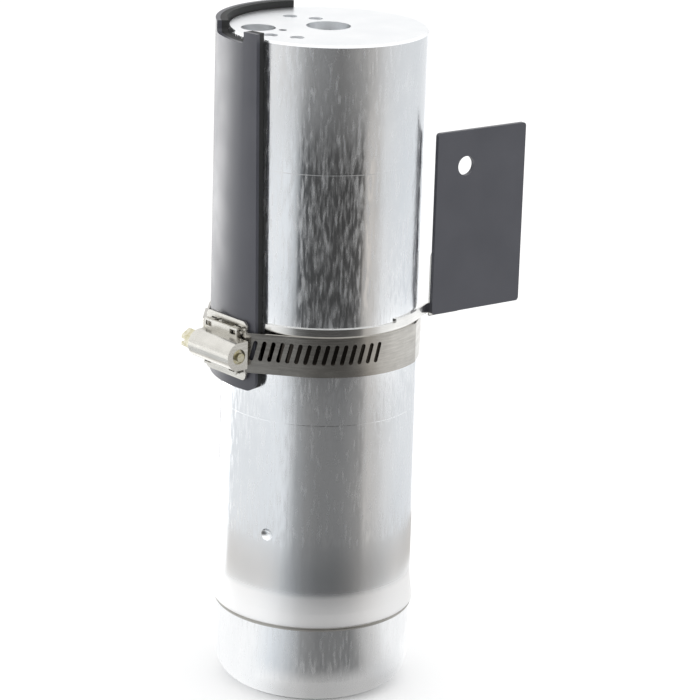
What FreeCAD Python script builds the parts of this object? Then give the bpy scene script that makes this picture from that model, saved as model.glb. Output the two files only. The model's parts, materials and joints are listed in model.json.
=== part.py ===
import FreeCAD, Part
import math
import os

# A receiver drier: an aluminium vessel that holds desiccant, with a rubber-lined saddle and a strap that
# carries the mounting flange, all held by a worm-drive clamp. Millimetres, +Z up the vessel's axis, origin
# on the axis at the vessel's foot. An azimuth of 0 degrees points along -Y, and it grows towards +X.

# Vessel
VESSEL_R = 35.0
VESSEL_HEIGHT = 240.0
WALL = 2.5
HEAD_THICKNESS = 22.0
HEAD_CHAMFER = 0.8
HEAD_ROOT_R = 4.0
CORNER_R = 9.5
FLOOR_THICKNESS = 3.5
FLOOR_ROOT_R = 6.0

# Girth weld under the flared mouth of the vessel, and the lip that centres the bottom cap
SEAM_Z = 30.5
FLARE = 1.3
FLARE_HEIGHT = 12.0
FLARE_BEND_HEIGHT = 7.0
MOUTH_CORNER = 0.6
WELD_GROOVE = 1.5
WELD_CROWN = 0.25
LIP_HEIGHT = 4.0
LIP_THICKNESS = 1.6
LIP_RUN_IN = 6.0
LIP_CLEARANCE = 0.05

# Ports and tapped holes in the head
OUTLET_COUNTERBORE_R = 7.75
INLET_COUNTERBORE_R = 6.0
COUNTERBORE_DEPTH = 5.0
PORT_BORE_R = 4.0
PORT_SPACING = 25.0
PORT_LINE_ANGLE = 160.0
TAP_DRILL_R = 2.5
TAP_DEPTH = 14.0
DRILL_POINT = 1.4
OUTER_SCREW_ALONG = 3.5
OUTER_SCREW_ACROSS = 18.3
INNER_SCREW_ALONG = 11.4
INNER_SCREW_ACROSS = 13.1
LOCATING_R = 1.4
LOCATING_DEPTH = 5.0
LOCATING_ALONG = -5.2
LOCATING_ACROSS = -5.4

# Dimples pressed into the wall, which carry the lower plate
DIMPLE_Z = 63.6
DIMPLE_COUNT = 3
DIMPLE_AZIMUTH = -64.0
DIMPLE_BALL_R = 2.6
DIMPLE_DEPTH = 1.3

# Pieces inside the vessel
TUBE_R = 6.0
TUBE_BORE_R = 4.2
TUBE_SOCKET = 12.0
TUBE_CLEARANCE = 0.03
TUBE_END_Z = 14.0
O_RING_WIRE_R = 0.75
O_RING_SQUEEZE = 0.15
O_RING_BELOW_TOP = 4.0
SCREEN_R = 8.0
SCREEN_THICKNESS = 0.6
SCREEN_HEIGHT = 22.0
SCREEN_WINDOWS = 8
SCREEN_WINDOW_WIDTH = 3.6
SCREEN_RIM = 2.5
CAP_THICKNESS = 1.6
CAP_SPIGOT = 3.0
CAP_SPIGOT_WALL = 1.2
FLOOR_CLEARANCE = 4.5
FIT = 0.05
PLATE_THICKNESS = 1.2
PLATE_RIM = 3.0
PLATE_CLEARANCE = 0.2
PLATE_HOLE_R = 2.0
PLATE_RING_SPACING = 6.5
PLATE_HOLE_PITCH = 10.0
PAD_THICKNESS = 6.0
SPRING_HEIGHT = 15.0
SPRING_IN_FROM_WALL = 11.5
SPRING_WIRE_R = 1.1
SPRING_TURNS = 3.0
SPRING_GROUND = 0.3
DEFLECTOR_GAP = 10.6
DEFLECTOR_CLEARANCE = 3.5
DEFLECTOR_SHEET = 1.2
DEFLECTOR_SKIRT = 6.0
DEFLECTOR_DISH = 3.0
DEFLECTOR_HUB_HEIGHT = 3.0

# Saddle and its liner
SHEET = 1.6
LINER_THICKNESS = 2.35
SADDLE_FRONT = -71.5
SADDLE_BACK = -194.5
SADDLE_BOTTOM = 116.5
SADDLE_RISE = 2.3
SADDLE_CORNER_R = 4.0
EDGE_SLANT = 1.2
NOTCH_FRONT = -82.5
NOTCH_BACK = -114.0
NOTCH_DEPTH = 4.0
NOTCH_CORNER_R = 1.5

# Strap: a belt under the clamp band, a neck above the band, and a tab behind the mounting flange
STRAP_SHEET = 0.8
BELT_RISE = 2.8
BELT_INSET = 0.8
BELT_START = -98.0
BELT_END = 31.5
NECK_START = 12.0
NECK_GAP = 0.4
NECK_HEIGHT = 3.6
NECK_LENGTH = 11.0
BEND_R = 4.0
TAB_DROP = 1.2
TAB_HEIGHT = 24.0
TAB_LENGTH = 15.0
TAB_CORNER_R = 3.0
FLANGE_WIDTH = 38.8
FLANGE_HEIGHT = 65.6
FLANGE_DROP = 0.5
FLANGE_CORNER_R = 1.2
FLANGE_HOLE_R = 3.5
FLANGE_HOLE_IN = 12.6
FLANGE_HOLE_DOWN = 12.8

# Worm-drive clamp
BAND_Z = 131.0
BAND_WIDTH = 14.3
BAND_THICKNESS = 0.7
SLOT_PITCH = 3.175
SLOT_WIDTH = 1.5
SLOT_LENGTH = 7.4
SLOT_SLANT = 14.0
SLOT_RAISE = 1.0
SLOTS_SEEN = 15
SLOTS_IN_HOUSING = 6
SLOTS_END_AZIMUTH = 0.5
HOUSING_AZIMUTH = -84.5
BASE_FRONT = 7.3
BASE_BACK = -14.5
BASE_THICKNESS = 0.9
BASE_WIDTH = 21.2
BASE_CORNER_R = 2.0
TAIL_SPAN = 42.0
HOUSING_FRONT = 10.5
HOUSING_BACK = -11.5
HOUSING_SHEET = 0.8
BARREL_R = 5.0
FRONT_OPENING_R = 2.7
LEG_LENGTH = 2.8
LEG_OFFSET = 6.6
LEG_WINDOW = 0.3
LEG_CLEARANCE = 0.35
SHOULDER_DROP = 3.0
SHOULDER_END = 0.8
SHOULDER_WINDOW_LENGTH = 3.2
SHOULDER_WINDOW_WIDTH = 1.7
WORM_CLEARANCE = 0.08
WORM_R = 4.1
WORM_ROOT_R = 3.3
WORM_RIDGES = 6
WORM_RIDGE_WIDTH = 1.9
WORM_END_PLAY = 0.15
SHANK_R = 2.0
PILOT_R = 1.5
PILOT_REACH = 1.0
RUNNING_CLEARANCE = 0.06
HEAD_GAP = 0.3
HEX_COLLAR_R = 3.9
HEX_COLLAR = 0.9
HEX_FLATS = 6.6
HEX_HEIGHT = 4.6
DRIVER_SLOT_WIDTH = 1.2
DRIVER_SLOT_DEPTH = 1.5

# Sizes that follow from the ones above
INNER_R = VESSEL_R - WALL
HEAD_UNDERSIDE = VESSEL_HEIGHT - HEAD_THICKNESS
TUBE_TOP = HEAD_UNDERSIDE + TUBE_SOCKET
LOWER_PLATE_Z = DIMPLE_Z + DIMPLE_BALL_R - FIT * 4
LOWER_PAD_Z = LOWER_PLATE_Z + PLATE_THICKNESS
BED_Z = LOWER_PAD_Z + PAD_THICKNESS
DEFLECTOR_Z = HEAD_UNDERSIDE - DEFLECTOR_GAP
SPRING_Z = DEFLECTOR_Z - SPRING_HEIGHT
UPPER_PLATE_Z = SPRING_Z - PLATE_THICKNESS
UPPER_PAD_Z = UPPER_PLATE_Z - PAD_THICKNESS
BED_HEIGHT = UPPER_PAD_Z - BED_Z
DEFLECTOR_R = INNER_R - DEFLECTOR_CLEARANCE
SPRING_R = INNER_R - SPRING_IN_FROM_WALL
SADDLE_R = VESSEL_R + LINER_THICKNESS + 2 * FIT
SADDLE_OUTER_R = SADDLE_R + SHEET
SADDLE_TOP = VESSEL_HEIGHT + SADDLE_RISE
BELT_R = VESSEL_R + FIT
BELT_OUTER_R = BELT_R + STRAP_SHEET
BAND_BOTTOM = BAND_Z - BAND_WIDTH / 2
BAND_TOP = BAND_Z + BAND_WIDTH / 2
BELT_BOTTOM = BAND_BOTTOM + BELT_INSET
BELT_TOP = BAND_TOP + BELT_RISE
NECK_BOTTOM = BAND_TOP + NECK_GAP
NECK_TOP = NECK_BOTTOM + NECK_HEIGHT
FLANGE_BOTTOM = NECK_BOTTOM - FLANGE_DROP
FLANGE_TOP = FLANGE_BOTTOM + FLANGE_HEIGHT
BASE_R = SADDLE_OUTER_R + FIT
BASE_TOP_R = BASE_R + BASE_THICKNESS
BAND_FLAT_R = BASE_TOP_R + FIT + BAND_THICKNESS
TAIL_R = BAND_FLAT_R + BAND_THICKNESS
WORM_AXIS_R = TAIL_R + WORM_CLEARANCE + WORM_R


def vec(x, y, z=0.0):
    return FreeCAD.Vector(x, y, z)


def polar(radius, azimuth, z=0.0):
    a = math.radians(azimuth)
    return vec(radius * math.sin(a), -radius * math.cos(a), z)


def revolve(points):
    """A solid of revolution about Z from a closed outline in r and z. A third value bulges the
    stretch before that point into an arc through the place it gives."""
    edges = []
    last = points[-1]
    for point in points:
        start = vec(last[0], 0, last[1])
        end = vec(point[0], 0, point[1])
        if len(point) == 3:
            middle = vec(point[2][0], 0, point[2][1])
            edges.append(Part.Arc(start, middle, end).toShape())
        else:
            edges.append(Part.LineSegment(start, end).toShape())
        last = point
    face = Part.Face(Part.Wire(edges))
    return face.revolve(vec(0, 0), vec(0, 0, 1), 360)


def arc_middle(cx, cz, radius, degrees):
    a = math.radians(degrees)
    return (cx + radius * math.cos(a), cz + radius * math.sin(a))


def disc(radius, z, height, hole=0.0):
    solid = Part.makeCylinder(radius, height, vec(0, 0, z))
    if hole:
        solid = solid.cut(Part.makeCylinder(hole, height, vec(0, 0, z)))
    return solid


def sector(inner, outer, start, end, z0, z1):
    """A part of a ring between two azimuths, from z0 to z1."""
    middle = (start + end) / 2
    edges = [
        Part.Arc(polar(outer, start, z0), polar(outer, middle, z0), polar(outer, end, z0)).toShape(),
        Part.LineSegment(polar(outer, end, z0), polar(inner, end, z0)).toShape(),
        Part.Arc(polar(inner, end, z0), polar(inner, middle, z0), polar(inner, start, z0)).toShape(),
        Part.LineSegment(polar(inner, start, z0), polar(outer, start, z0)).toShape(),
    ]
    return Part.Face(Part.Wire(edges)).extrude(vec(0, 0, z1 - z0))


def block(x0, x1, y0, y1, z0, z1):
    return Part.makeBox(x1 - x0, y1 - y0, z1 - z0, vec(x0, y0, z0))


def turned(shape, azimuth):
    """The shape turned about the vessel's axis from azimuth 0."""
    copy = shape.copy()
    copy.rotate(vec(0, 0), vec(0, 0, 1), azimuth)
    return copy


def round_edges(shape, radius, wanted):
    """Rounds the edges whose middle passes the test."""
    picked = [e for e in shape.Edges if wanted(e)]
    return shape.makeFillet(radius, picked)


def edge_middle(edge):
    return edge.valueAt((edge.FirstParameter + edge.LastParameter) / 2)


# Vessel


def port_place(along, across):
    """A place on the head: along runs from the inlet to the outlet, from half way between them."""
    a = math.radians(PORT_LINE_ANGLE)
    line = vec(-math.cos(a), -math.sin(a))
    side = vec(-line.y, line.x)
    centre = line * (-PORT_SPACING / 2)
    return centre + line * along + side * across


def screw_places():
    return [
        port_place(OUTER_SCREW_ALONG, OUTER_SCREW_ACROSS),
        port_place(-OUTER_SCREW_ALONG, -OUTER_SCREW_ACROSS),
        port_place(INNER_SCREW_ALONG, INNER_SCREW_ACROSS),
        port_place(-INNER_SCREW_ALONG, -INNER_SCREW_ACROSS),
    ]


def drilled(place, radius, depth):
    """A blind hole from the top face, with the drill's point at its floor."""
    floor = VESSEL_HEIGHT - depth
    hole = Part.makeCylinder(radius, depth, vec(place.x, place.y, floor))
    point = Part.makeCone(0, radius, DRILL_POINT * radius / TAP_DRILL_R, vec(place.x, place.y, floor),
                          vec(0, 0, 1))
    point.translate(vec(0, 0, -DRILL_POINT * radius / TAP_DRILL_R))
    return hole.fuse(point)


def dimple_places():
    return [DIMPLE_AZIMUTH + i * 360 / DIMPLE_COUNT for i in range(DIMPLE_COUNT)]


def flare_points():
    """The wall bends outwards above the seam along an arc and runs on as a cone to the mouth."""
    cone_height = FLARE_HEIGHT - FLARE_BEND_HEIGHT
    slope = FLARE / (cone_height + FLARE_BEND_HEIGHT / 2)
    bend_r = FLARE_BEND_HEIGHT / math.sin(math.atan(slope))
    cone_top = VESSEL_R + slope * FLARE_BEND_HEIGHT / 2
    half_way = VESSEL_R + bend_r * (1 - math.cos(math.atan(slope) / 2))
    half_z = SEAM_Z + FLARE_HEIGHT - bend_r * math.sin(math.atan(slope) / 2)
    return [
        (VESSEL_R + FLARE - MOUTH_CORNER, SEAM_Z),
        (VESSEL_R + FLARE - slope * MOUTH_CORNER, SEAM_Z + MOUTH_CORNER),
        (cone_top, SEAM_Z + cone_height),
        (VESSEL_R, SEAM_Z + FLARE_HEIGHT, (half_way, half_z)),
    ]


def vessel_body():
    root = arc_middle(INNER_R - HEAD_ROOT_R, HEAD_UNDERSIDE - HEAD_ROOT_R, HEAD_ROOT_R, 45)
    body = revolve(flare_points() + [
        (VESSEL_R, VESSEL_HEIGHT - HEAD_CHAMFER),
        (VESSEL_R - HEAD_CHAMFER, VESSEL_HEIGHT),
        (0, VESSEL_HEIGHT),
        (0, HEAD_UNDERSIDE),
        (INNER_R - HEAD_ROOT_R, HEAD_UNDERSIDE),
        (INNER_R, HEAD_UNDERSIDE - HEAD_ROOT_R, root),
        (INNER_R, SEAM_Z),
    ])
    for azimuth in dimple_places():
        dent = polar(VESSEL_R + DIMPLE_BALL_R - DIMPLE_DEPTH, azimuth, DIMPLE_Z)
        bump = polar(INNER_R + DIMPLE_BALL_R - DIMPLE_DEPTH, azimuth, DIMPLE_Z)
        within = disc(VESSEL_R - FIT, DIMPLE_Z - DIMPLE_BALL_R * 2, DIMPLE_BALL_R * 4)
        inside = Part.makeSphere(DIMPLE_BALL_R, bump).common(within)
        body = body.fuse(inside).cut(Part.makeSphere(DIMPLE_BALL_R, dent))
    inlet = port_place(-PORT_SPACING / 2, 0)
    counterbore_floor = VESSEL_HEIGHT - COUNTERBORE_DEPTH
    cuts = [
        disc(OUTLET_COUNTERBORE_R, counterbore_floor, COUNTERBORE_DEPTH),
        disc(PORT_BORE_R, HEAD_UNDERSIDE, HEAD_THICKNESS),
        disc(TUBE_R + TUBE_CLEARANCE, HEAD_UNDERSIDE, TUBE_SOCKET),
        Part.makeCylinder(INLET_COUNTERBORE_R, COUNTERBORE_DEPTH, vec(inlet.x, inlet.y, counterbore_floor)),
        Part.makeCylinder(PORT_BORE_R, HEAD_THICKNESS, vec(inlet.x, inlet.y, HEAD_UNDERSIDE)),
        drilled(port_place(LOCATING_ALONG, LOCATING_ACROSS), LOCATING_R, LOCATING_DEPTH),
    ]
    cuts += [drilled(place, TAP_DRILL_R, TAP_DEPTH) for place in screw_places()]
    return body.cut(cuts)


def bottom_cap():
    outer = arc_middle(VESSEL_R - CORNER_R, CORNER_R, CORNER_R, -45)
    inner = arc_middle(INNER_R - FLOOR_ROOT_R, FLOOR_THICKNESS + FLOOR_ROOT_R, FLOOR_ROOT_R, -45)
    lip_outer = INNER_R - LIP_CLEARANCE
    lip_inner = lip_outer - LIP_THICKNESS
    return revolve([
        (0, 0),
        (VESSEL_R - CORNER_R, 0),
        (VESSEL_R, CORNER_R, outer),
        (VESSEL_R, SEAM_Z - WELD_GROOVE),
        (VESSEL_R - WELD_GROOVE, SEAM_Z),
        (lip_outer, SEAM_Z),
        (lip_outer, SEAM_Z + LIP_HEIGHT),
        (lip_inner, SEAM_Z + LIP_HEIGHT),
        (lip_inner, SEAM_Z - LIP_RUN_IN / 2),
        (INNER_R, SEAM_Z - LIP_RUN_IN),
        (INNER_R, FLOOR_THICKNESS + FLOOR_ROOT_R),
        (INNER_R - FLOOR_ROOT_R, FLOOR_THICKNESS, inner),
        (0, FLOOR_THICKNESS),
    ])


def girth_weld():
    top_r = VESSEL_R + FLARE - MOUTH_CORNER
    crown = ((VESSEL_R + top_r) / 2 + WELD_CROWN, SEAM_Z - WELD_GROOVE / 2 - WELD_CROWN)
    return revolve([
        (VESSEL_R - WELD_GROOVE, SEAM_Z),
        (VESSEL_R, SEAM_Z - WELD_GROOVE),
        (top_r, SEAM_Z, crown),
    ])


# Pieces inside the vessel


def pickup_tube():
    tube = disc(TUBE_R, TUBE_END_Z, TUBE_TOP - TUBE_END_Z, TUBE_BORE_R)
    groove_z = TUBE_TOP - O_RING_BELOW_TOP
    groove = Part.makeTorus(TUBE_R - O_RING_WIRE_R + O_RING_SQUEEZE * 2, O_RING_WIRE_R, vec(0, 0, groove_z))
    return tube.cut(groove)


def tube_o_ring():
    ring_z = TUBE_TOP - O_RING_BELOW_TOP
    ring = Part.makeTorus(TUBE_R - O_RING_WIRE_R + O_RING_SQUEEZE * 2, O_RING_WIRE_R, vec(0, 0, ring_z))
    return ring.common(disc(TUBE_R + TUBE_CLEARANCE, ring_z - 2 * O_RING_WIRE_R, 4 * O_RING_WIRE_R))


def screen_bottom():
    return FLOOR_THICKNESS + FLOOR_CLEARANCE


def strainer_screen():
    """The screen's sleeve, closed in at the top to grip the tube, with tall windows round it."""
    z0 = screen_bottom() + CAP_THICKNESS
    z1 = z0 + SCREEN_HEIGHT
    inner = SCREEN_R - SCREEN_THICKNESS
    grip = TUBE_R + TUBE_CLEARANCE
    sleeve = revolve([
        (SCREEN_R, z0),
        (SCREEN_R, z1),
        (grip, z1),
        (grip, z1 - SCREEN_RIM),
        (inner, z1 - SCREEN_RIM),
        (inner, z0),
    ])
    window_height = SCREEN_HEIGHT - 2 * SCREEN_RIM - CAP_SPIGOT
    windows = []
    for i in range(SCREEN_WINDOWS):
        window = block(-SCREEN_WINDOW_WIDTH / 2, SCREEN_WINDOW_WIDTH / 2, -SCREEN_R - 1, -inner + 1,
                       z0 + CAP_SPIGOT + SCREEN_RIM / 2, z0 + CAP_SPIGOT + SCREEN_RIM / 2 + window_height)
        windows.append(turned(window, i * 360 / SCREEN_WINDOWS))
    return sleeve.cut(windows)


def strainer_cap():
    z0 = screen_bottom()
    spigot_r = SCREEN_R - SCREEN_THICKNESS - FIT
    plug = disc(spigot_r, z0 + CAP_THICKNESS, CAP_SPIGOT, spigot_r - CAP_SPIGOT_WALL)
    return disc(SCREEN_R, z0, CAP_THICKNESS).fuse(plug)


def perforated_plate(z):
    """A flat disc round the tube with rings of holes between a plain middle and a plain rim."""
    plate = disc(INNER_R - PLATE_CLEARANCE, z, PLATE_THICKNESS, TUBE_R + FIT)
    holes = []
    radius = TUBE_R + PLATE_RING_SPACING
    while radius + PLATE_HOLE_R < INNER_R - PLATE_RIM:
        count = round(2 * math.pi * radius / PLATE_HOLE_PITCH)
        for i in range(count):
            holes.append(Part.makeCylinder(PLATE_HOLE_R, PLATE_THICKNESS, polar(radius, i * 360 / count, z)))
        radius += PLATE_RING_SPACING
    return plate.cut(holes)


def lower_perforated_plate():
    return perforated_plate(LOWER_PLATE_Z)


def upper_perforated_plate():
    return perforated_plate(UPPER_PLATE_Z)


def lower_filter_pad():
    return disc(INNER_R - FIT, LOWER_PAD_Z, PAD_THICKNESS, TUBE_R + FIT)


def upper_filter_pad():
    return disc(INNER_R - FIT, UPPER_PAD_Z, PAD_THICKNESS, TUBE_R + FIT)


def desiccant_bed():
    return disc(INNER_R - FIT, BED_Z, BED_HEIGHT, TUBE_R + FIT)


def compression_spring():
    """An open coil whose ends are ground flat against the upper plate and the deflector."""
    lift = SPRING_HEIGHT - 2 * SPRING_WIRE_R + SPRING_GROUND
    helix = Part.makeHelix(lift / SPRING_TURNS, lift, SPRING_R)
    start = vec(SPRING_R, 0, 0)
    section = Part.Wire(Part.makeCircle(SPRING_WIRE_R, start, vec(0, 1, 0)))
    coil = Part.Wire(helix.Edges).makePipeShell([section], True, True)
    coil.translate(vec(0, 0, SPRING_Z + SPRING_WIRE_R - SPRING_GROUND / 2))
    return coil.common(disc(INNER_R, SPRING_Z, SPRING_HEIGHT))


def inlet_deflector():
    """A dished disc below the inlet that spreads the flow out to the wall. Its hub grips the tube."""
    return revolve([
        (TUBE_R + TUBE_CLEARANCE, DEFLECTOR_Z),
        (DEFLECTOR_R - DEFLECTOR_SKIRT, DEFLECTOR_Z),
        (DEFLECTOR_R, DEFLECTOR_Z - DEFLECTOR_DISH),
        (DEFLECTOR_R, DEFLECTOR_Z - DEFLECTOR_DISH + DEFLECTOR_SHEET),
        (DEFLECTOR_R - DEFLECTOR_SKIRT, DEFLECTOR_Z + DEFLECTOR_SHEET),
        (TUBE_R + DEFLECTOR_SHEET, DEFLECTOR_Z + DEFLECTOR_SHEET),
        (TUBE_R + DEFLECTOR_SHEET, DEFLECTOR_Z + DEFLECTOR_HUB_HEIGHT),
        (TUBE_R + TUBE_CLEARANCE, DEFLECTOR_Z + DEFLECTOR_HUB_HEIGHT),
    ])


# Saddle and liner


def notch_cut(inner, outer):
    cut = sector(inner, outer, NOTCH_BACK, NOTCH_FRONT, SADDLE_TOP - NOTCH_DEPTH, SADDLE_TOP + NOTCH_DEPTH)

    def floor_corner(edge):
        middle = edge_middle(edge)
        low = abs(middle.z - (SADDLE_TOP - NOTCH_DEPTH)) < FIT
        return low and edge.Length < (outer - inner) * 1.5

    return round_edges(cut, NOTCH_CORNER_R, floor_corner)


def wrap(inner, outer, z0, z1):
    """The saddle's wrap between two radii, with its slanted front edge and rounded lower corners."""
    margin = 6.0
    body = sector(inner, outer, SADDLE_BACK, SADDLE_FRONT + margin, z0, z1)
    tool = block(0, 2 * outer, -2 * outer, 0, z0 - margin, z1 + margin)
    tool.rotate(vec(0, 0, (z0 + z1) / 2), vec(0, 1, 0), -EDGE_SLANT)
    body = body.cut(turned(tool, SADDLE_FRONT))

    def lower_corner(edge):
        return abs(edge_middle(edge).z - z0) < FIT and edge.Length < (outer - inner) * 1.5

    return round_edges(body, SADDLE_CORNER_R, lower_corner)


def saddle_shell():
    shell = wrap(SADDLE_R, SADDLE_OUTER_R, SADDLE_BOTTOM, SADDLE_TOP)
    return shell.cut(notch_cut(SADDLE_R - 1, SADDLE_OUTER_R + 1))


def belt(outer):
    """The strap's round part, which starts under the liner and is taller where the neck leaves it."""
    band = sector(BELT_R, outer, BELT_START, BELT_END, BELT_BOTTOM, BELT_TOP)
    return band.fuse(sector(BELT_R, outer, NECK_START, BELT_END, BELT_BOTTOM, NECK_TOP))


def saddle_liner():
    inner = VESSEL_R + FIT
    outer = inner + LINER_THICKNESS
    liner = wrap(inner, outer, SADDLE_BOTTOM, SADDLE_TOP)
    liner = liner.cut(notch_cut(inner - 1, outer + 1))
    return liner.cut(belt(BELT_OUTER_R + FIT))


# Strap and mounting flange


def neck_points():
    """Where the neck leaves the belt, where its bend starts, and where the flat tab starts."""
    a = math.radians(BELT_END)
    leave = polar(BELT_R + STRAP_SHEET / 2, BELT_END)
    start = leave + vec(math.cos(a), math.sin(a)) * NECK_LENGTH
    tab = start + vec(math.sin(a), 1 - math.cos(a)) * BEND_R
    return leave, start, tab


def neck():
    leave, start, tab = neck_points()
    half = STRAP_SHEET / 2
    straight = block(0, NECK_LENGTH, -half, half, NECK_BOTTOM, NECK_TOP)
    straight.rotate(vec(0, 0), vec(0, 0, 1), BELT_END)
    straight.translate(leave)
    bend = sector(BEND_R - half, BEND_R + half, 180, 180 + BELT_END, NECK_BOTTOM, NECK_TOP)
    bend.translate(tab - vec(0, BEND_R))
    return straight.fuse(bend)


def plate_with_corners(x0, x1, y0, y1, z0, z1, radius, square):
    """A flat plate in an XZ plane with its corners rounded, apart from those the test keeps square."""
    plate = block(x0, x1, y0, y1, z0, z1)

    def corner(edge):
        return edge.Length < (y1 - y0) * 1.5 and not square(edge_middle(edge))

    return round_edges(plate, radius, corner)


def flange_strap():
    tab = neck_points()[2]
    half = STRAP_SHEET / 2
    bottom = NECK_BOTTOM - TAB_DROP
    plate = plate_with_corners(tab.x, tab.x + TAB_LENGTH, tab.y - half, tab.y + half, bottom,
                               bottom + TAB_HEIGHT, TAB_CORNER_R,
                               lambda p: p.x < tab.x + FIT and p.z < NECK_BOTTOM)
    return belt(BELT_OUTER_R).fuse([neck(), plate]).removeSplitter()


def mounting_flange():
    """The plate that bolts to the car, spot-welded to the front of the strap's tab."""
    tab = neck_points()[2]
    y1 = tab.y - STRAP_SHEET / 2
    plate = plate_with_corners(tab.x, tab.x + FLANGE_WIDTH, y1 - SHEET, y1, FLANGE_BOTTOM, FLANGE_TOP,
                               FLANGE_CORNER_R, lambda p: False)
    hole = vec(tab.x + FLANGE_HOLE_IN, y1 - 2 * SHEET, FLANGE_TOP - FLANGE_HOLE_DOWN)
    return plate.cut(Part.makeCylinder(FLANGE_HOLE_R, 3 * SHEET, hole, vec(0, 1, 0)))


# Worm-drive clamp


def in_clamp_frame(shape):
    """Turns a shape built at azimuth 0 to where the housing sits."""
    return turned(shape, HOUSING_AZIMUTH)


def tangent_azimuth(corner_r, corner_azimuth, circle_r, direction):
    """Where the straight run from a corner meets a smaller circle about the axis."""
    return corner_azimuth + direction * math.degrees(math.acos(circle_r / corner_r))


def hull_corners():
    """The places where the band changes from round to straight, as radius and azimuth."""
    front_r = math.hypot(BASE_TOP_R, BASE_FRONT)
    front = HOUSING_AZIMUTH + math.degrees(math.atan2(BASE_FRONT, BASE_TOP_R))
    back_r = math.hypot(BASE_TOP_R, BASE_BACK)
    back = HOUSING_AZIMUTH + math.degrees(math.atan2(BASE_BACK, BASE_TOP_R))
    return {
        "base_front": (front_r, front),
        "base_back": (back_r, back),
        "on_belt": (BELT_OUTER_R, tangent_azimuth(front_r, front, BELT_OUTER_R, 1)),
        "belt_end": (BELT_OUTER_R, BELT_END),
        "on_vessel": (VESSEL_R, tangent_azimuth(BELT_OUTER_R, BELT_END, VESSEL_R, 1)),
        "off_vessel": (VESSEL_R, tangent_azimuth(SADDLE_OUTER_R, SADDLE_BACK + 360, VESSEL_R, -1)),
        "saddle_back": (SADDLE_OUTER_R, SADDLE_BACK + 360),
        "off_saddle": (SADDLE_OUTER_R, tangent_azimuth(back_r, back, SADDLE_OUTER_R, -1) + 360),
    }


def hull_edge(start, end):
    """A straight run between two corners, or an arc where both are on one circle."""
    if abs(start[0] - end[0]) > FIT / 10:
        return Part.LineSegment(polar(*start), polar(*end)).toShape()
    middle = polar(start[0], (start[1] + end[1]) / 2)
    return Part.Arc(polar(*start), middle, polar(*end)).toShape()


def tight_outline():
    """The outline that a tight band takes round the vessel, the belt, the saddle and the base plate."""
    c = hull_corners()
    flat = Part.LineSegment(polar(*c["base_back"]), polar(*c["base_front"])).toShape()
    edges = [
        flat,
        hull_edge(c["base_front"], c["on_belt"]),
        hull_edge(c["on_belt"], c["belt_end"]),
        hull_edge(c["belt_end"], c["on_vessel"]),
        hull_edge(c["on_vessel"], c["off_vessel"]),
        hull_edge(c["off_vessel"], c["saddle_back"]),
        hull_edge(c["saddle_back"], c["off_saddle"]),
        hull_edge(c["off_saddle"], (c["base_back"][0], c["base_back"][1] + 360)),
    ]
    return Part.Face(Part.Wire(edges))


def slot_frames():
    """Each slot's place and the azimuth its normal takes, from the last slot back into the housing."""
    c = hull_corners()
    frames = []
    line_length = c["base_front"][0] * math.sin(math.radians(c["on_belt"][1] - c["base_front"][1]))
    arc_r = BELT_OUTER_R + BAND_THICKNESS
    arc_length = math.radians(SLOTS_END_AZIMUTH - c["on_belt"][1]) * arc_r
    for i in range(SLOTS_SEEN + SLOTS_IN_HOUSING):
        s = (i + 0.5) * SLOT_PITCH
        if s < arc_length:
            azimuth = SLOTS_END_AZIMUTH - math.degrees(s / arc_r)
            frames.append((polar(BELT_OUTER_R, azimuth), azimuth))
        elif s < arc_length + line_length:
            azimuth = c["on_belt"][1]
            back = s - arc_length
            a = math.radians(azimuth)
            frames.append((polar(BELT_OUTER_R, azimuth) - vec(math.cos(a), math.sin(a)) * back, azimuth))
        else:
            a = math.radians(HOUSING_AZIMUTH)
            back = s - arc_length - line_length
            frames.append((polar(*c["base_front"]) - vec(math.cos(a), math.sin(a)) * back, HOUSING_AZIMUTH))
    return frames


def slot_tool():
    """One slanted slot with round ends, cut along Y about the origin."""
    half = (SLOT_LENGTH - SLOT_WIDTH) / 2
    r = SLOT_WIDTH / 2
    depth = 3 * BAND_THICKNESS
    edges = [
        Part.LineSegment(vec(r, -depth, -half), vec(r, -depth, half)).toShape(),
        Part.Arc(vec(r, -depth, half), vec(0, -depth, half + r), vec(-r, -depth, half)).toShape(),
        Part.LineSegment(vec(-r, -depth, half), vec(-r, -depth, -half)).toShape(),
        Part.Arc(vec(-r, -depth, -half), vec(0, -depth, -half - r), vec(r, -depth, -half)).toShape(),
    ]
    tool = Part.Face(Part.Wire(edges)).extrude(vec(0, depth + BAND_THICKNESS, 0))
    tool.rotate(vec(0, 0), vec(0, 1, 0), SLOT_SLANT)
    return tool


def clamp_band():
    """The slotted strip, with its free end lying on top where it leaves the housing."""
    outline = tight_outline()
    inner = outline.makeOffset2D(FIT)
    outer = outline.makeOffset2D(FIT + BAND_THICKNESS)
    band = outer.cut(inner).extrude(vec(0, 0, BAND_WIDTH))
    band.translate(vec(0, 0, BAND_BOTTOM))
    tail = outline.makeOffset2D(FIT + 2 * BAND_THICKNESS).cut(outer).extrude(vec(0, 0, BAND_WIDTH))
    tail.translate(vec(0, 0, BAND_BOTTOM))
    tail_start = HOUSING_AZIMUTH + math.degrees(math.atan2(BASE_FRONT - SLOT_PITCH, TAIL_R))
    keep = sector(VESSEL_R, 2 * TAIL_R - VESSEL_R, tail_start - TAIL_SPAN, tail_start, BAND_BOTTOM, BAND_TOP)
    band = band.fuse(tail.common(keep)).removeSplitter()
    tool = slot_tool()
    slots = []
    for place, azimuth in slot_frames():
        slot = turned(tool, azimuth)
        slot.translate(place + vec(0, 0, BAND_Z + SLOT_RAISE))
        slots.append(slot)
    return band.cut(slots)


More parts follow.
